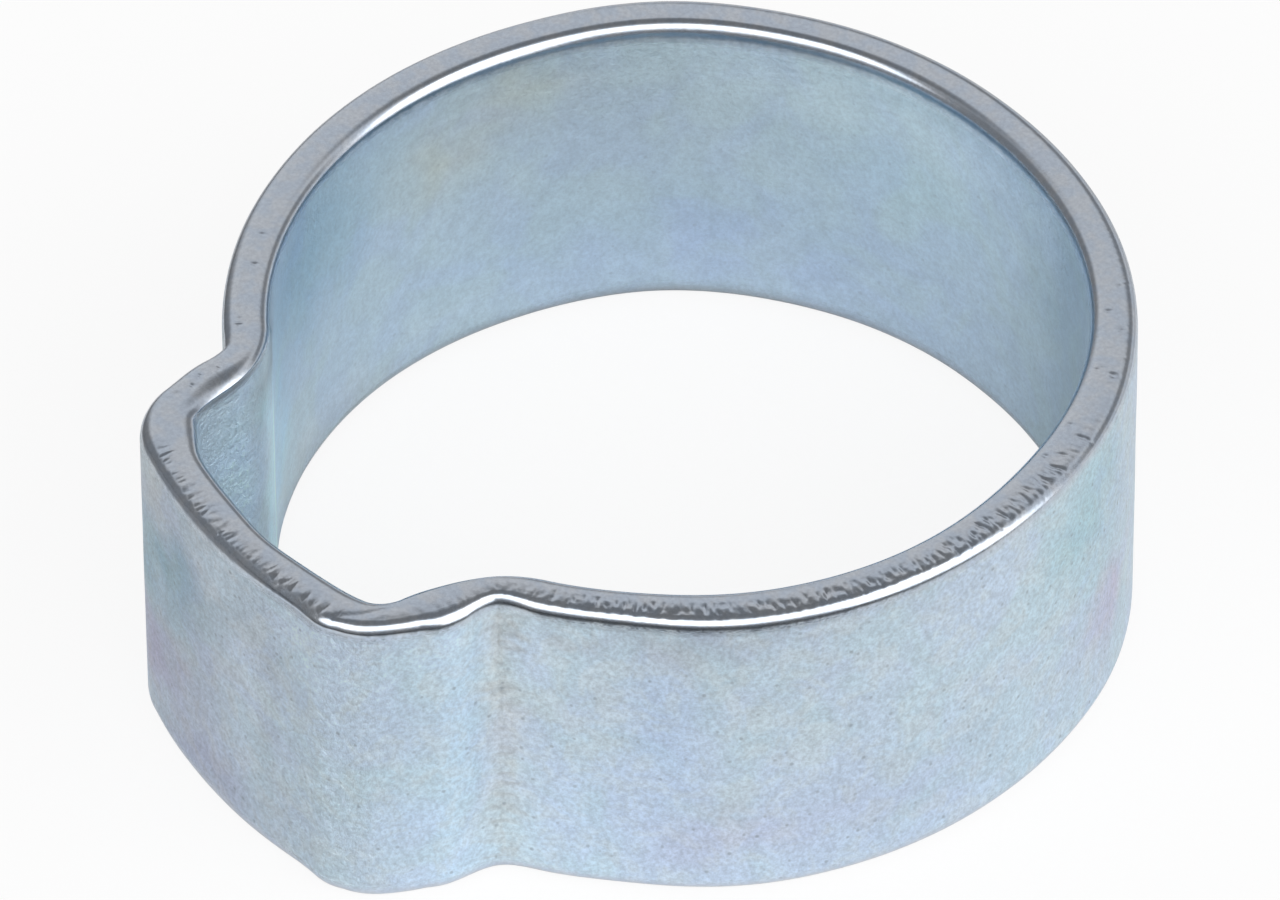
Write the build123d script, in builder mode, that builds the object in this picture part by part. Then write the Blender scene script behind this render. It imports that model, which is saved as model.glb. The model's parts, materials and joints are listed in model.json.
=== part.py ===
from build123d import *
import math
import os

# One-ear hose clamp: a closed steel band, cut as a ring from tube, with a single ear
# pressed outwards for a pincer to squeeze. It is one piece, with no joints.
# Millimetres. The origin is on the bore's axis at mid-width, +Z runs along the bore,
# and the ear points to -Y.

# The band
bore_radius = 9.25  # inside radius of the clamp as delivered, before the ear is squeezed
wall = 1.1  # thickness of the strip, the same all the way round
band_width = 8.5  # from rim to rim, along the bore
edge_round = 0.3  # rounding of the rims' inner and outer edges, left by tumbling

# The ear, measured on the inside of its wall
ear_rise = 2.45  # from the bore's circle out to the middle of the crown
ear_width = 7.6  # between the points where the crown would meet the flanks
crown_radius = 12.1  # bow of the crown, nearly in line with the band's own curve
flank_lean = 8.5  # degrees by which each flank leans in towards the ear's middle
corner_bend = 0.8  # bend from crown to flank
neck_bend = 2.85  # bend from flank to bore, the waist that the pincer's jaws close

# Where the ear's outline lies
crown_top = -bore_radius - ear_rise
corner_x = ear_width / 2
corner_y = crown_top + crown_radius - math.sqrt(crown_radius**2 - corner_x**2)
foot_y = -bore_radius / 2
foot_x = corner_x + (foot_y - corner_y) * math.tan(math.radians(flank_lean))

os.makedirs("parts", exist_ok=True)

# What the band goes round: the bore, opened on one side into the hollow of the ear
with BuildSketch() as hollow:
    Circle(bore_radius)
    with BuildLine():
        ThreePointArc((-corner_x, corner_y), (0, crown_top), (corner_x, corner_y))
        Polyline((corner_x, corner_y), (foot_x, foot_y), (-foot_x, foot_y), (-corner_x, corner_y))
    make_face()
    necks = hollow.vertices().group_by(Axis.Y)[1]
    fillet(necks, neck_bend)
    corners = hollow.vertices().group_by(Axis.Y)[0]
    fillet(corners, corner_bend)

# The band itself, with the same wall everywhere round that hollow
with BuildPart() as clamp_band:
    with BuildSketch(Plane.XY.offset(-band_width / 2)):
        offset(hollow.sketch, amount=wall, kind=Kind.INTERSECTION)
        add(hollow.sketch, mode=Mode.SUBTRACT)
    extrude(amount=band_width)
    rims = clamp_band.faces().filter_by(Axis.Z)
    fillet(rims.edges(), edge_round)

clamp_band.part.label = "clamp_band"
export_step(clamp_band.part, "parts/clamp_band.step")

print("volume", round(clamp_band.part.volume, 2), "mm3")
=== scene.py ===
import json
import math
import random

import bpy
import numpy as np
from mathutils import Matrix, Vector, noise


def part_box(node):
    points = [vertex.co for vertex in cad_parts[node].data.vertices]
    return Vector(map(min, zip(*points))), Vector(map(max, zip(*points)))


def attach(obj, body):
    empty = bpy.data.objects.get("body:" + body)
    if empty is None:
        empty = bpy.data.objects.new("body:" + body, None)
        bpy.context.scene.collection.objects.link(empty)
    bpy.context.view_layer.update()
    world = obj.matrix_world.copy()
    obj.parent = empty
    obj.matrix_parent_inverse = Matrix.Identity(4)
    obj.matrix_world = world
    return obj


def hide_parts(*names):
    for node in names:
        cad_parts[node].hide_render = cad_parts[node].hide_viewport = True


# A one-ear hose clamp in blue-passivated zinc. The strip is one mesh, swept round the band's own
# outline, and the marks of its making are in that mesh. Metres: the ear points to -Y, +Z is up.

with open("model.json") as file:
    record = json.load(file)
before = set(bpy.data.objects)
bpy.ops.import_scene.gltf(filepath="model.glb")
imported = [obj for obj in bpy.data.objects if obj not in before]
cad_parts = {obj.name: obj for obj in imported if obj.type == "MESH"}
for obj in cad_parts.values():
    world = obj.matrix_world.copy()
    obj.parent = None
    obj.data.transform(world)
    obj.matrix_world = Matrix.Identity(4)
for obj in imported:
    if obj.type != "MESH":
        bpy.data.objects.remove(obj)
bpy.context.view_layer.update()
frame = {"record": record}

MM = 0.001
BAND = "clamp_band"

# Sizes that the frame holds
low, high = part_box(BAND)
bore_mount = next(m for m in frame["record"]["mounts"] if m["name"] == "hose_bore")
BORE = bore_mount["dims"]["r_mm"] * MM
WALL = high.x - BORE
HALF_WIDTH = high.z
EAR_RISE = -low.y - WALL - BORE

# Sizes of the ear that the frame doesn't hold, as in the part's source
EAR_WIDTH = 7.6 * MM
CROWN_RADIUS = 12.1 * MM
FLANK_LEAN = math.radians(8.5)
CORNER_BEND = 0.8 * MM
NECK_BEND = 2.85 * MM

# How finely the strip is divided, round the band and round its section
STATIONS = 800
TOP_SPLIT = 3  # steps on the top rim for each station
NECK_SPLIT = 3  # steps down the outer wall of a neck for each row
ROWS = {"inner": 13, "rounding": 5, "rim": 8, "outer": 27}
MARGIN = 0.05 * MM  # the narrow rows that keep a wall flat up to its roundings
NECK_REACH = 0.9 * MM

# Where the photograph's camera stands
CAMERA_TURN = math.radians(53.371)
CAMERA_LIFT = math.radians(43.570)
CAMERA_ROLL = math.radians(0.330)
CAMERA_DISTANCE = 388.9 * MM
CAMERA_AIM = Vector((-2.152, 0.450, -2.134)) * MM
CAMERA_LENS = 477.56  # on a sensor 36 wide


# The outline. Complex numbers are points, with the ear's middle on the real axis. A run is its
# length and a rule for the point and the outward normal at a distance along it.


def turn(angle):
    return complex(math.cos(angle), math.sin(angle))


def angle_of(point):
    return math.atan2(point.imag, point.real)


def bend(centre, radius, start, stop, outward=1):
    sense = 1 if stop > start else -1

    def at(distance):
        way = turn(start + sense * distance / radius)
        return centre + radius * way, way * outward

    return abs(stop - start) * radius, at


def straight(start, stop, normal):
    length = abs(stop - start)

    def at(distance):
        return start + (stop - start) * distance / length, normal

    return length, at


def walk(runs, distance):
    """The point and the normal at a distance along several runs."""
    for length, at in runs:
        if distance <= length:
            return at(distance)
        distance -= length
    return runs[-1][1](runs[-1][0])


def first_meeting(start, way, centre, radius):
    """Where the line from start along way first lies radius from centre."""
    start_from_centre = start - centre
    middle = -(start_from_centre * way.conjugate()).real
    depth = middle**2 - abs(start_from_centre) ** 2 + radius**2
    return start + way * (middle - math.sqrt(depth))


def half_outline():
    """The inside of the strip, from the crown's middle round to the point opposite the ear."""
    crown_centre = complex(BORE + EAR_RISE - CROWN_RADIUS)
    edge = crown_centre + CROWN_RADIUS * turn(math.asin(EAR_WIDTH / 2 / CROWN_RADIUS))
    lean = math.pi / 2 - FLANK_LEAN
    side = turn(lean)
    inwards = side * 1j
    corner_line = edge - side * CORNER_BEND
    corner = first_meeting(corner_line, inwards, crown_centre, CROWN_RADIUS - CORNER_BEND)
    neck = first_meeting(edge + side * NECK_BEND, inwards, 0, BORE + NECK_BEND)
    crown_end = angle_of(corner - crown_centre)
    neck_end = angle_of(neck)
    return [
        bend(crown_centre, CROWN_RADIUS, 0, crown_end),
        bend(corner, CORNER_BEND, crown_end, lean),
        straight(corner + side * CORNER_BEND, neck - side * NECK_BEND, side),
        bend(neck, NECK_BEND, lean + math.pi, neck_end + math.pi, outward=-1),
        bend(0, BORE, neck_end, math.pi),
    ]


HALF = half_outline()
CROWN_LENGTH, CORNER_LENGTH, FLANK_LENGTH, NECK_LENGTH, BACK_LENGTH = [run[0] for run in HALF]
HALF_LENGTH = CROWN_LENGTH + CORNER_LENGTH + FLANK_LENGTH + NECK_LENGTH + BACK_LENGTH
LENGTH = 2 * HALF_LENGTH
NECK_AT = CROWN_LENGTH + CORNER_LENGTH + FLANK_LENGTH + NECK_LENGTH / 2
FOLD_AT = NECK_AT + NECK_LENGTH / 2  # the fine fold where the left neck meets the bore


def outline_at(along):
    """The inner wall's point and outward normal, with the ear's middle towards -Y."""
    point, normal = walk(HALF, min(along, LENGTH - along))
    if along > HALF_LENGTH:
        point, normal = point.conjugate(), normal.conjugate()
    return point * -1j, normal * -1j


# The mesh's grid. A station is a place round the band, a row is a place round the section.

RUNS = ["inner", "rounding", "rim", "rounding", "outer", "rounding", "rim", "rounding"]
ROW_RUNS = [run for run, name in enumerate(RUNS) for row in range(ROWS[name])]
TOP_RUNS = (1, 2, 3)
ROUNDING_RUNS = (1, 3, 5, 7)
INNER_RUN = 0
OUTER_RUN = 4
AROUND = TOP_SPLIT * STATIONS
ACROSS = NECK_SPLIT * len(ROW_RUNS)


def grid_cells():
    """Each face as its corner in steps, with the steps that it spans each way."""
    for station in range(STATIONS):
        along = LENGTH * station / STATIONS
        in_neck = abs(min(along, LENGTH - along) - NECK_AT) < NECK_REACH
        for row, run in enumerate(ROW_RUNS):
            du = 1 if run in TOP_RUNS else TOP_SPLIT
            dv = 1 if run == OUTER_RUN and in_neck else NECK_SPLIT
            for u in range(TOP_SPLIT * station, TOP_SPLIT * (station + 1), du):
                for v in range(NECK_SPLIT * row, NECK_SPLIT * (row + 1), dv):
                    yield u, v, du, dv


def grid_faces():
    """Faces that share the points of finer neighbours, so that nothing gapes."""
    cells = list(grid_cells())
    numbers = {}
    for u, v, du, dv in cells:
        for a, b in ((u, v), (u + du, v), (u + du, v + dv), (u, v + dv)):
            numbers.setdefault((a % AROUND, b % ACROSS), len(numbers))
    faces = []
    for u, v, du, dv in cells:
        border = [(u + k, v) for k in range(du)]
        border += [(u + du, v + k) for k in range(dv)]
        border += [(u + du - k, v + dv) for k in range(du)]
        border += [(u, v + dv - k) for k in range(dv)]
        found = (numbers.get((a % AROUND, b % ACROSS)) for a, b in border)
        faces.append([number for number in found if number is not None])
    return np.array(list(numbers)).T, faces


def row_shares(name):
    """How far along its run of the section each row starts, ending with the run's end."""
    rows = ROWS[name]
    if name in ("rounding", "rim"):
        return np.linspace(0, 1, rows + 1)
    margin = MARGIN / (2 * HALF_WIDTH)
    return np.array([0, *np.linspace(margin, 1 - margin, rows - 1), 1])


def step_shares():
    """For each step round the section, the run it is in and its share of that run."""
    runs, shares = [], []
    for number, name in enumerate(RUNS):
        starts = row_shares(name)
        steps = np.arange(NECK_SPLIT * ROWS[name]) / NECK_SPLIT
        runs += [number] * len(steps)
        shares += list(np.interp(steps, np.arange(len(starts)), starts))
    return np.array(runs), np.array(shares)


# The section. Place is outward from the bore side and level is up from mid-width. Each rounding
# reaches over the rim and drops down the wall, in millimetres.

BORE_REACH, BORE_DROP = 0.28, 0.30
OUTER_REACH, OUTER_DROP = 0.30, 0.32


def rounding_sizes(along):
    """How far the bore side's and the outside's roundings reach over the rim and down the wall."""
    bore_reach = (BORE_REACH + bumps(along, BORE_REACH_BUMPS)) * MM
    bore_drop = (BORE_DROP + bumps(along, BORE_DROP_BUMPS)) * MM
    reach = (OUTER_REACH + bumps(along, OUTER_REACH_BUMPS)) * MM
    drop = (OUTER_DROP + bumps(along, OUTER_DROP_BUMPS)) * MM
    return (bore_reach, bore_drop), (reach, drop)


def corner_at(corner, share, along):
    """A corner's rounding: bottom and top of the bore side, then top and bottom outside."""
    outside = corner in (2, 3)
    up = 1 if corner in (1, 2) else -1
    reach, drop = rounding_sizes(along)[outside]
    from_wall = share if corner in (1, 3) else 1 - share
    angle = from_wall * math.pi / 2
    out = 1 if outside else -1
    place = (WALL if outside else 0) - out * reach * (1 - np.cos(angle))
    level = up * (HALF_WIDTH - drop * (1 - np.sin(angle)))
    return np.array([place, level, out * np.cos(angle), up * np.sin(angle)])


def section_at(run, share, along):
    """Place and level of points on the section, and how far they face out and up."""
    found = np.zeros((4, len(run)))
    for number in range(len(RUNS)):
        chosen = run == number
        part, place = share[chosen], along[chosen]
        before = (number + 1) // 2 % 4
        if number in ROUNDING_RUNS:
            found[:, chosen] = corner_at(before, part, place)
        else:
            start = corner_at(before, 1 + 0 * part, place)
            stop = corner_at((before + 1) % 4, 0 * part, place)
            found[:, chosen] = start + (stop - start) * part
    return found


# Unevenness: each bump is its place round the band and its reach in millimetres, then its height,
# in millimetres or as a share. The places run from the crown's middle towards +X.

BORE_SIDE_BUMPS = [(0.4, 0.9, 0.07), (4.6, 1.0, -0.17), (9.6, 2.1, -0.07), (19.6, 2.8, -0.10)]
BORE_SIDE_BUMPS += [(31.0, 4.0, -0.14), (40.2, 2.4, 0.13), (58.7, 0.6, -0.22)]
OUTER_BUMPS = [(2.95, 0.5, 0.12), (4.0, 0.5, -0.24), (6.4, 1.0, -0.13), (9.2, 1.9, -0.17)]
OUTER_BUMPS += [(22.4, 2.0, 0.05), (31.0, 4.2, -0.15), (40.3, 2.2, 0.12), (57.2, 0.6, 0.06)]
BORE_REACH_BUMPS = [(57.2, 1.0, 0.20)]
BORE_DROP_BUMPS = [(37.6, 11.0, 0.30), (57.2, 1.0, 0.10)]
OUTER_REACH_BUMPS = [(-0.6, 3.4, -0.08)]
OUTER_DROP_BUMPS = [(-1.0, 3.6, 0.14), (5.5, 6.5, 0.17), (16.5, 4.5, 0.16)]
RIM_FALL_BUMPS = [(11.5, 5.5, 0.020), (1.2, 3.0, 0.014)]
TORN_BUMPS = [(9.5, 2.2, 1.0), (13.5, 3.0, 0.9), (18.0, 2.6, 0.7), (0.0, 2.8, 0.25)]
WORKED_BUMPS = [(2.5, 1.6, 0.8), (6.5, 1.0, 0.1)]
HOLLOW_BUMPS = [(-5.0, 1.5, 1.0), (0.0, 4.0, 0.5)]
SCUFFED_BUMPS = [(33.0, 5.5, 0.35), (42.0, 4.0, 0.25)]

# The groove down each neck
GROOVE_DEPTH = 0.03 * MM
GROOVE_EXTRA = 0.13 * MM  # what the top rim's end has more of it
GROOVE_FADE = 3 * MM  # how far below the top rim that reaches
GROOVE_REACH = 1.1 * MM
GROOVE_BLUNT = 0.1 * MM

# Marks on the top rim
CROWN_REACH = 3.2 * MM  # to either side of the crown's middle
FRONT_RIM = (7.8 * MM, 20.5 * MM)  # the stretch that tore most
RIGHT_DINGS = 32
LEFT_DINGS = 10


def apart_from(along, place):
    """The signed distance round the band from a place."""
    return (along - place + LENGTH / 2) % LENGTH - LENGTH / 2


def bumps(along, entries):
    total = np.zeros_like(along)
    for place, reach, height in entries:
        total += height * np.exp(-((apart_from(along, place * MM) / (reach * MM)) ** 2))
    return total


def smooth(value, start, stop):
    share = np.clip((value - start) / (stop - start), 0, 1)
    return share * share * (3 - 2 * share)


def waves(along, counts, seed):
    """A smooth closed variation round the band, within about -1 to 1."""
    draw = random.Random(seed)
    total = np.zeros_like(along)
    for count in counts:
        total += np.sin(2 * math.pi * (count * along / LENGTH + draw.random()))
    return total / math.sqrt(len(counts))


def neck_groove(along, level):
    """The valley that the press left down each neck, deepest under the top rim."""
    near_top = smooth(level, HALF_WIDTH - GROOVE_FADE, HALF_WIDTH)
    deep = GROOVE_DEPTH + GROOVE_EXTRA * near_top
    shape = np.zeros_like(along)
    for middle in (NECK_AT, LENGTH - NECK_AT):
        blunt = np.sqrt(apart_from(along, middle) ** 2 + GROOVE_BLUNT**2)
        shape += np.clip(1 - blunt / GROOVE_REACH, 0, 1) ** 1.5
    return deep * shape


def rim_slope(across, along):
    """How far the top and bottom rims fall away towards their two edges."""
    ragged = 0.04 * waves(along, (131, 173, 211, 257), 5) + 0.03 * waves(along, (9, 17, 31), 6)
    start = 0.50 + ragged
    deep = (0.006 + bumps(along, RIM_FALL_BUMPS)) * MM
    return deep * smooth(across, start, start + 0.30) + 0.008 * MM * smooth(0.4 - across, 0, 0.3)


def teeth(along, across):
    """Torn marks that the shearing left across the top rim, in from its outer edge."""
    draw = random.Random(21)
    depth = np.zeros_like(along)
    at = 0.0
    while at < LENGTH:
        on_crown = abs(apart_from(at, 0.0)) < CROWN_REACH
        front = FRONT_RIM[0] < at < FRONT_RIM[1]
        base = draw.uniform(0.76, 0.86) if on_crown else draw.uniform(0.60, 0.84)
        reach = draw.uniform(0.08, 0.28) if on_crown else draw.uniform(0.08, 0.3)
        width = draw.uniform(0.05, 0.13) * MM
        slant = draw.uniform(-0.6, 0.9) * MM
        busy = 1.0 if front or on_crown else 0.15
        deeper = 1.5 if on_crown else 1.0
        deep = draw.uniform(0.004, 0.022) * MM * busy * deeper
        near = np.abs(apart_from(along, at)) < 0.6 * MM
        inward = (base - across[near]) / reach
        room = np.clip(1 - inward, 0.05, 1) * width
        aside = np.abs(apart_from(along[near], at) - slant * (base - across[near])) / room
        shape = np.clip(1 - aside, 0, 1) * smooth(inward, -0.3, 0.1) * smooth(1 - inward, 0, 0.2)
        depth[near] += deep * shape
        at += draw.uniform(0.10, 0.42) * MM
    return depth


def torn_band(along, across):
    """A rough band along the top rim, where the shear broke through."""
    grain = [noise.noise(Vector((a / (0.10 * MM), 7.0 * b, 0.5))) for a, b in zip(along, across)]
    grain = np.clip(np.array(grain) + 0.1, 0, 1)
    span = smooth(across, 0.40, 0.52) * smooth(0.84 - across, 0, 0.08)
    strength = np.clip(bumps(along, TORN_BUMPS), 0, 1)
    return 0.034 * MM * grain * span * strength


def crown_lines(along, across):
    """Where the rim's rounded part starts on the crown, and how it hooks round the corner."""
    at = apart_from(along, 0.0) / MM
    ragged = 0.025 * waves(along, (140, 190, 230), 9)
    edge = 0.86 - 0.03 * np.abs(at) / 3 + ragged
    line = 0.020 * np.exp(-(((across - edge) / 0.05) ** 2)) * smooth(3.1 - np.abs(at), 0, 0.5)
    bent = 0.32 + 0.55 * np.clip((4.0 - at) / 0.85, 0, 1) ** 1.6
    hook = 0.014 * np.exp(-(((across - bent) / 0.07) ** 2))
    hook = hook * smooth(at, 2.9, 3.3) * smooth(4.15 - at, 0, 0.2)
    return (line + hook) * MM


def dings(along, across):
    """A few round pits in the top rim, far from the ear."""
    draw = random.Random(12)
    depth = np.zeros_like(along)
    for number in range(RIGHT_DINGS + LEFT_DINGS):
        at = draw.uniform(16.5, 26.0) if number < RIGHT_DINGS else draw.uniform(47.0, 61.0)
        centre = draw.uniform(0.3, 0.85)
        radius = draw.uniform(0.04, 0.06) * MM
        x = apart_from(along, at * MM) / radius
        y = (across - centre) * WALL / radius
        depth += draw.uniform(0.006, 0.022) * MM * np.exp(-(x**2) - y**2)
    return depth


def neck_creases(along, level):
    """Short creases that the press left across each neck's outer valley, and one down it."""
    draw = random.Random(8)
    depth = np.zeros_like(along)
    for middle in (NECK_AT, LENGTH - NECK_AT):
        rise = -HALF_WIDTH + 0.5 * MM
        while rise < HALF_WIDTH - 0.5 * MM:
            width = draw.uniform(0.05, 0.1) * MM
            reach = draw.uniform(0.25, 0.75) * MM
            centre = middle + draw.uniform(-0.1, 0.45) * MM
            deep = draw.uniform(0.006, 0.020) * MM
            tilt = draw.uniform(-0.15, 0.15)
            shift = (level - rise - tilt * apart_from(along, centre)) / width
            span = apart_from(along, centre) / reach
            depth += deep * np.exp(-(shift**2) - span**4)
            rise += draw.uniform(0.14, 0.42) * MM
        fade = 0.2 + 0.8 * smooth(level, HALF_WIDTH - 2.0 * MM, HALF_WIDTH - 1.2 * MM)
        line = apart_from(along, middle) / (0.06 * MM)
        depth += 0.016 * MM * fade * np.exp(-(line**2))
    return depth


def undulation(points, scale, seed):
    """Shallow unevenness, from 0 to about 1, by place in space."""
    shift = Vector((seed, 2 * seed, 3 * seed))
    return np.array([0.5 + 0.5 * noise.noise(Vector(p) / scale + shift) for p in points])


# Stains in the passivation, with painted shade and painted highlight among them: place round the
# band and above mid-width and the reach each way, in millimetres, then how much of each primary
# colour is left.

OUTER_STAINS_AND_PAINTED_SHADE = [
    # The first darkens the crown from top to bottom, partly a tint and partly painted shade.
    (-0.8, 0.0, 2.3, 9.0, (0.84, 0.81, 0.83)),
    (-2.5, 1.4, 1.4, 1.6, (0.60, 0.77, 0.80)),
    (-2.9, -1.6, 1.4, 1.1, (0.86, 0.74, 0.82)),
    (-1.0, -3.6, 2.2, 0.8, (0.90, 0.86, 0.90)),
    (-3.2, 3.4, 1.2, 1.0, (1.12, 1.02, 0.98)),
    (2.6, 1.5, 1.3, 4.0, (1.10, 1.12, 1.11)),
    (4.7, 0.0, 0.7, 6.0, (1.02, 1.05, 1.09)),
    (6.4, 3.6, 2.4, 1.5, (1.14, 1.14, 1.14)),
    (6.5, 0.6, 0.6, 4.6, (1.10, 1.03, 0.97)),
    (1.4, 3.4, 2.4, 1.3, (1.14, 1.13, 1.13)),
    (8.8, -1.8, 1.1, 1.6, (0.98, 0.99, 1.03)),
    (10.3, 0.6, 0.7, 2.4, (0.92, 0.95, 1.02)),
    (11.8, -2.4, 2.0, 0.8, (0.98, 0.93, 0.96)),
    (10.0, 3.4, 3.4, 0.3, (0.90, 0.87, 0.88)),
    (15.5, -2.4, 4.0, 2.0, (0.93, 0.92, 0.95)),
    (20.9, 2.2, 1.5, 2.0, (0.80, 0.93, 0.93)),
    (21.7, -1.4, 1.0, 1.2, (0.96, 0.82, 0.91)),
    (26.0, 0.8, 2.2, 2.4, (0.92, 0.99, 0.97)),
    (33.0, -1.2, 2.8, 1.8, (0.97, 0.93, 1.00)),
    (41.5, 1.0, 3.2, 2.0, (0.93, 0.98, 0.99)),
    (49.0, -1.5, 2.4, 1.6, (0.99, 0.94, 0.98)),
]
INNER_STAINS_AND_PAINTED_LIGHT = [
    # Painted shade: the first darkens a stretch of the bore side, top to bottom, on the +X side.
    (27.2, 0.6, 3.0, 6.0, (0.60, 0.68, 0.70)),
    (45.6, 1.7, 1.2, 0.9, (1.08, 0.98, 0.86)),
    (43.4, 2.9, 1.4, 0.7, (1.08, 0.99, 0.87)),
    (50.8, 2.2, 2.8, 2.6, (0.60, 0.74, 0.82)),
    (54.6, 3.4, 1.0, 1.1, (0.44, 0.42, 0.42)),
    (36.5, 3.6, 6.0, 1.3, (1.22, 1.21, 1.18)),
    (39.0, -1.8, 8.0, 1.8, (0.88, 0.91, 0.94)),
    (50.0, -3.5, 4.0, 0.5, (1.08, 1.03, 1.00)),
    # The next three brighten the inside of the left neck near its fold: a cyan tint with a painted
    # highlight.
    (53.4, -1.0, 1.1, 3.4, (0.98, 1.16, 1.18)),
    (54.9, 0.0, 0.5, 9.0, (1.06, 1.20, 1.18)),
    (56.8, 1.0, 0.9, 3.0, (1.16, 1.24, 1.28)),
    (34.0, 1.0, 2.8, 1.4, (0.95, 1.00, 0.99)),
    (38.6, -2.6, 3.8, 1.0, (1.00, 0.98, 1.04)),
    (3.8, 0.0, 2.8, 9.0, (0.90, 0.95, 0.98)),
    (13.2, 1.0, 3.8, 2.0, (0.93, 0.98, 0.96)),
]


def worked(along, level, inner):
    """Where the press and the shear left the surface rough."""
    below_rim = (HALF_WIDTH - 0.85 * MM - level) / (0.35 * MM)
    scuffed = bumps(along, SCUFFED_BUMPS) * np.exp(-(below_rim**2))
    return np.where(inner, bumps(along, HOLLOW_BUMPS) + scuffed, bumps(along, WORKED_BUMPS))


def stain_and_painted_light_tints(along, level, raw, inner):
    """For each point, how much of each primary colour the stains leave, with the painted shade and
    painted highlight in the tables and painted shade along the foot of the inner wall.
    """
    warp = 0.9 * MM * (2 * undulation(raw, 1.3 * MM, 7) - 1)
    tints = np.ones((len(along), 3))
    for stains_and_painted_light, side in ((OUTER_STAINS_AND_PAINTED_SHADE, ~inner), (INNER_STAINS_AND_PAINTED_LIGHT, inner)):
        for place, rise, reach, reach_up, left in stains_and_painted_light:
            x = (apart_from(along, place * MM) + warp) / (reach * MM)
            y = (level - rise * MM + warp) / (reach_up * MM)
            weight = np.where(side, np.exp(-(x**2) - y**2), 0)
            tints *= 1 + (np.array(left) - 1) * weight[:, None]
    # Painted shade: the bore side darkens towards its bottom edge, standing in for the shadow
    # where the band meets the floor.
    painted_foot_shade = np.exp(-(((level + HALF_WIDTH) / (0.34 * MM)) ** 2)) * inner
    return tints * (1 - 0.55 * painted_foot_shade)[:, None]


def build_strip():
    (u, v), faces = grid_faces()
    runs, shares = step_shares()
    run, share = runs[v], shares[v]
    along = LENGTH * u / AROUND
    outline = np.array([outline_at(LENGTH * step / AROUND) for step in range(AROUND)])
    point, normal = outline[u].T

    place, level, lean_out, lean_up = section_at(run, share, along)
    across = np.clip(place / WALL, 0, 1)
    on_top = np.isin(run, TOP_RUNS)
    inner = across < 0.5
    place = place + bumps(along, BORE_SIDE_BUMPS) * MM * (1 - across)
    place += (bumps(along, OUTER_BUMPS) * MM - neck_groove(along, level)) * across

    crease = np.where(run == OUTER_RUN, neck_creases(along, level), 0)
    dent = crease + rim_slope(across, along) * np.abs(lean_up)
    torn = teeth(along, across) + torn_band(along, across) + crown_lines(along, across)
    dent += (torn + dings(along, across)) * on_top * lean_up**4
    fold = np.exp(-((apart_from(along, LENGTH - FOLD_AT) / (0.08 * MM)) ** 2))
    dent -= 0.035 * MM * fold * (run == INNER_RUN)
    flat = point + normal * place
    raw = np.stack([flat.real, flat.imag, level], 1)
    dent += 0.010 * MM * undulation(raw, 1.6 * MM, 3)
    flat -= normal * dent * lean_out
    verts = np.stack([flat.real, flat.imag, level - dent * lean_up], 1)

    mesh = bpy.data.meshes.new("clamp_band_strip")
    mesh.from_pydata(verts.tolist(), [], faces)
    mesh.shade_smooth()
    # The bare rim colour is held back on the bore side's lower half, so the painted shade at the
    # foot shows on the lower rounding too.
    bare_held_back_for_painted_shade = np.where(inner & (level < 0), 0.3, 1.0)
    masks = {
        "bare": smooth(np.abs(lean_up), 0.15, 0.5) * bare_held_back_for_painted_shade,
        "polished": smooth(np.abs(lean_up), 0.03, 0.2),
        "inner": inner,
        "crease": np.clip(crease / (0.012 * MM), 0, 1),
        "worked": worked(along, level, inner),
    }
    for name, values in masks.items():
        layer = mesh.attributes.new(name, "FLOAT", "POINT")
        layer.data.foreach_set("value", values.astype(np.float32))
    tints = np.ones((len(along), 4), np.float32)
    # Painted highlight: the inner wall is lightened along the fold, a bright line down the inside
    # of the left neck.
    painted_fold_highlight = 1 + 0.4 * fold * (run == INNER_RUN)
    tints[:, :3] = stain_and_painted_light_tints(along, level, raw, inner) * painted_fold_highlight[:, None]
    layer = mesh.attributes.new("stain_and_painted_light", "FLOAT_COLOR", "POINT")
    layer.data.foreach_set("color", tints.ravel())
    piece = bpy.data.objects.new("clamp_band_strip", mesh)
    bpy.context.scene.collection.objects.link(piece)
    return piece


# Materials. The zinc's colours are what it leaves of white light.

TEAL_WALL = (0.60, 0.735, 0.82, 1)
BLUE_WALL = (0.61, 0.72, 0.85, 1)
PALE_PATCH = (0.66, 0.74, 0.78, 1)
TEAL_INSIDE = (0.595, 0.72, 0.79, 1)
BLUE_INSIDE = (0.58, 0.70, 0.82, 1)
PAINTED_CREASE_SHADE = (0.42, 0.42, 0.40, 1)
PIT_DARK = (0.20, 0.24, 0.28, 1)
RIM_BLUE = (0.52, 0.585, 0.68, 1)
RIM_GREY = (0.57, 0.61, 0.67, 1)


class Graph:
    """The nodes of a material or the world, made one call each."""

    def __init__(self, owner):
        owner.use_nodes = True
        self.tree = owner.node_tree
        self.tree.nodes.clear()

    def node(self, kind, out=0, inputs=None, **settings):
        made = self.tree.nodes.new("ShaderNode" + kind)
        for name, value in settings.items():
            setattr(made, name, value)
        for name, value in (inputs or {}).items():
            socket = made.inputs[name]
            if isinstance(value, bpy.types.NodeSocket):
                self.tree.links.new(value, socket)
            else:
                socket.default_value = value
        return made.outputs[out] if made.outputs else made

    def noise(self, coords, scale, detail=2.0, roughness=0.5, distortion=0.0):
        wanted = {"Vector": coords, "Scale": scale, "Detail": detail}
        wanted.update({"Roughness": roughness, "Distortion": distortion})
        return self.node("TexNoise", inputs=wanted)

    def spread(self, value, start, stop, to_start=0.0, to_stop=1.0):
        wanted = {0: value, 1: start, 2: stop, 3: to_start, 4: to_stop}
        return self.node("MapRange", inputs=wanted, interpolation_type="SMOOTHSTEP")

    def math(self, operation, a, b):
        return self.node("Math", inputs={0: a, 1: b}, operation=operation)

    def blend(self, factor, a, b, mode="MIX"):
        wanted = {0: factor, 6: a, 7: b}
        return self.node("Mix", out=2, inputs=wanted, data_type="RGBA", blend_type=mode)

    def mask(self, name):
        return self.node("Attribute", out=2, attribute_name=name)


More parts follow.
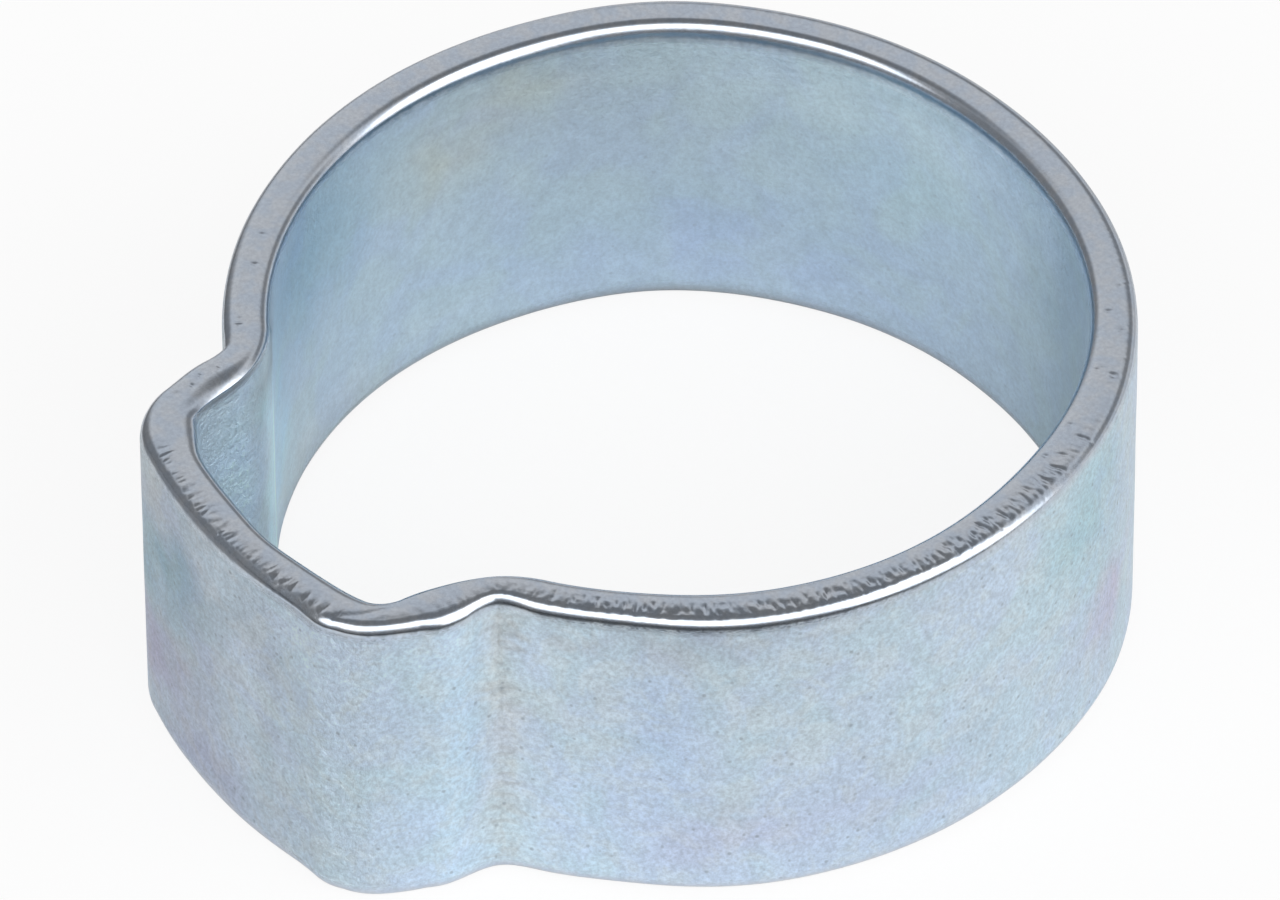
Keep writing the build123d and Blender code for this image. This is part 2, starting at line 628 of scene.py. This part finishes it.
def zinc_material():
    material = bpy.data.materials.new("zinc_passivated")
    g = Graph(material)
    place = g.node("TexCoord", out=3)
    coords = g.node("Mapping", inputs={"Vector": place, "Scale": (1 / MM,) * 3})
    bare, inner = g.mask("bare"), g.mask("inner")

    hue = g.spread(g.noise(coords, 0.45, 2.0, distortion=0.8), 0.36, 0.64)
    wall = g.blend(hue, TEAL_WALL, BLUE_WALL)
    patch = g.spread(g.noise(coords, 1.2, 4.0, 0.6, 0.6), 0.45, 0.62, 0.0, 0.5)
    wall = g.blend(patch, wall, PALE_PATCH)
    inside = g.blend(hue, TEAL_INSIDE, BLUE_INSIDE)
    color = g.blend(inner, wall, inside)
    # This attribute holds the stains together with painted shade and painted highlight.
    stain_and_painted_light = g.node("Attribute", out=0, attribute_name="stain_and_painted_light")
    color = g.blend(1.0, color, stain_and_painted_light, "MULTIPLY")
    # Painted shade: the neck creases are darkened towards grey.
    color = g.blend(g.math("MULTIPLY", g.mask("crease"), 0.32), color, PAINTED_CREASE_SHADE)

    grain = g.noise(coords, 8.5, 4.0, 0.75)
    cloud = g.noise(coords, 2.2, 2.0, 0.5)
    darkest = g.spread(inner, 0.0, 1.0, 0.80, 0.90)
    lightest = g.spread(inner, 0.0, 1.0, 1.14, 1.08)
    shade = g.spread(grain, 0.28, 0.72, darkest, lightest)
    shade = g.math("MULTIPLY", shade, g.spread(cloud, 0.3, 0.7, 0.96, 1.03))
    color = g.blend(1.0, color, shade, "MULTIPLY")
    cells = g.node("TexVoronoi", inputs={"Vector": coords, "Scale": 2.3})
    pit = g.spread(cells, 0.06, 0.15, g.spread(inner, 0.0, 1.0, 0.42, 0.15), 0.0)
    color = g.blend(pit, color, PIT_DARK)
    rim = g.blend(g.spread(cloud, 0.35, 0.65), RIM_BLUE, RIM_GREY)
    rim = g.blend(1.0, rim, g.spread(grain, 0.3, 0.7, 0.93, 1.07), "MULTIPLY")
    color = g.blend(bare, color, rim)

    wall_rough = g.spread(inner, 0.0, 1.0, 0.36, 0.30)
    rough = g.spread(g.mask("polished"), 0.0, 1.0, wall_rough, 0.21)
    relief = g.spread(g.mask("worked"), 0.0, 1.0, 0.5, 3.6)
    relief = g.spread(bare, 0.0, 1.0, relief, 0.06)
    height = g.math("MULTIPLY", g.math("ADD", grain, g.math("MULTIPLY", cloud, 1.2)), relief)
    bump = g.node("Bump", inputs={"Height": height, "Strength": 1.0, "Distance": 0.03 * MM})
    wanted = {"Base Color": color, "Metallic": 1.0, "Roughness": rough, "Normal": bump}
    surface = g.node("BsdfPrincipled", inputs=wanted)
    g.node("OutputMaterial", inputs={"Surface": surface})
    return material


# Studio

BOX_TURN = CAMERA_TURN + math.radians(9)  # the soft box stands a little right of the camera


def level_way(angle):
    """The level direction at an angle from -Y towards +X."""
    return math.sin(angle), -math.cos(angle), 0


def floor_material():
    """Pale floor. Metal sees it pale too, but darker far out in front, behind and to the left."""
    material = bpy.data.materials.new("pale_floor")
    g = Graph(material)
    path = g.node("LightPath").node
    position = g.node("NewGeometry")

    def towards(angle):
        wanted = {0: position, 1: level_way(angle)}
        return g.node("VectorMath", out=1, inputs=wanted, operation="DOT_PRODUCT")

    front = g.spread(towards(CAMERA_TURN), 24 * MM, 30 * MM, 1.0, 0.1)
    behind = g.spread(towards(CAMERA_TURN + math.pi), 12 * MM, 18 * MM, 1.0, 0.7)
    left = g.spread(towards(CAMERA_TURN - math.radians(90)), 20 * MM, 28 * MM, 1.0, 0.35)
    pale = g.math("MULTIPLY", g.math("MULTIPLY", front, behind), left)
    glossy = path.outputs["Is Glossy Ray"]
    level = g.spread(glossy, 0.0, 1.0, 1.0, pale)
    paint = g.blend(1.0, (0.9, 0.9, 0.9, 1), level, "MULTIPLY")
    shaded = g.node("BsdfDiffuse", inputs={"Color": paint})
    white = g.node("Emission", inputs={"Color": (1, 1, 1, 1), "Strength": level})
    mirrored = g.math("MAXIMUM", glossy, path.outputs["Is Transmission Ray"])
    share = g.math("MULTIPLY", mirrored, 0.12)
    share = g.math("MAXIMUM", share, g.math("MULTIPLY", path.outputs["Is Camera Ray"], 0.88))
    surface = g.node("MixShader", inputs={0: share, 1: shaded, 2: white})
    g.node("OutputMaterial", inputs={"Surface": surface})
    return material


def studio_world():
    """A broad soft box on the camera's side, with a darker ceiling and a pale far wall."""
    world = bpy.data.worlds.new("studio")
    bpy.context.scene.world = world
    g = Graph(world)
    direction = g.node("TexCoord", out=0)
    rise = g.node("SeparateXYZ", out=2, inputs={"Vector": direction})

    def towards(angle):
        wanted = {0: direction, 1: level_way(angle)}
        return g.node("VectorMath", out=1, inputs=wanted, operation="DOT_PRODUCT")

    right = g.spread(towards(CAMERA_TURN + math.radians(90)), 0.35, 0.75)
    start = g.spread(right, 0.0, 1.0, 0.24, 0.0)
    stop = g.spread(right, 0.0, 1.0, 0.42, 0.18)
    low_edge = g.spread(rise, start, stop, 0.2, 2.6)
    box = g.math("MULTIPLY", low_edge, g.spread(rise, 0.76, 0.90, 1.0, 0.09))
    far = g.spread(rise, 0.72, 0.86, 0.74, 0.22)
    left = g.spread(towards(CAMERA_TURN - math.radians(100)), 0.45, 0.80, 1.0, 0.34)
    gap = g.spread(towards(CAMERA_TURN + math.radians(140)), 0.62, 0.80)
    gap = g.math("MULTIPLY", gap, g.spread(rise, 0.10, 0.28))
    gap = g.math("MULTIPLY", gap, g.spread(rise, 0.50, 0.64, 1.0, 0.0))
    gap = g.spread(gap, 0.0, 1.0, 1.0, 0.35)
    back = g.math("MULTIPLY", g.math("MULTIPLY", far, left), gap)
    front = g.spread(towards(BOX_TURN), 0.14, 0.30)
    level = g.node("Mix", inputs={0: front, 2: back, 3: box}, data_type="FLOAT")
    path = g.node("LightPath").node
    wanted = {0: path.outputs["Is Camera Ray"], 2: level, 3: 1.0}
    level = g.node("Mix", inputs=wanted, data_type="FLOAT")
    glow = g.node("Background", inputs={"Color": (1, 1, 1, 1), "Strength": level})
    g.node("OutputWorld", inputs={"Surface": glow})


def add_floor():
    reach = 2.0
    outline = [(-reach, -reach), (reach, -reach), (reach, reach), (-reach, reach)]
    mesh = bpy.data.meshes.new("floor")
    mesh.from_pydata([(x, y, low.z) for x, y in outline], [], [(0, 1, 2, 3)])
    plane = bpy.data.objects.new("floor", mesh)
    bpy.context.scene.collection.objects.link(plane)
    plane.data.materials.append(floor_material())


def add_camera():
    data = bpy.data.cameras.new("camera")
    data.lens = CAMERA_LENS
    data.sensor_width = 36.0
    data.clip_start = 0.01
    data.clip_end = 10.0
    away = Vector(level_way(CAMERA_TURN)) * math.cos(CAMERA_LIFT)
    back = away + Vector((0, 0, math.sin(CAMERA_LIFT)))
    level_right = Vector((math.cos(CAMERA_TURN), math.sin(CAMERA_TURN), 0))
    level_up = back.cross(level_right)
    right = level_right * math.cos(CAMERA_ROLL) - level_up * math.sin(CAMERA_ROLL)
    up = level_right * math.sin(CAMERA_ROLL) + level_up * math.cos(CAMERA_ROLL)
    camera = bpy.data.objects.new("camera", data)
    facing = Matrix((right, up, back)).transposed().to_4x4()
    camera.matrix_world = Matrix.Translation(CAMERA_AIM + back * CAMERA_DISTANCE) @ facing
    bpy.context.scene.collection.objects.link(camera)
    bpy.context.scene.camera = camera


band = build_strip()
band.data.materials.append(zinc_material())
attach(band, "root")
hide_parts(BAND)

add_floor()
studio_world()
add_camera()
bpy.context.scene.view_settings.view_transform = "Standard"
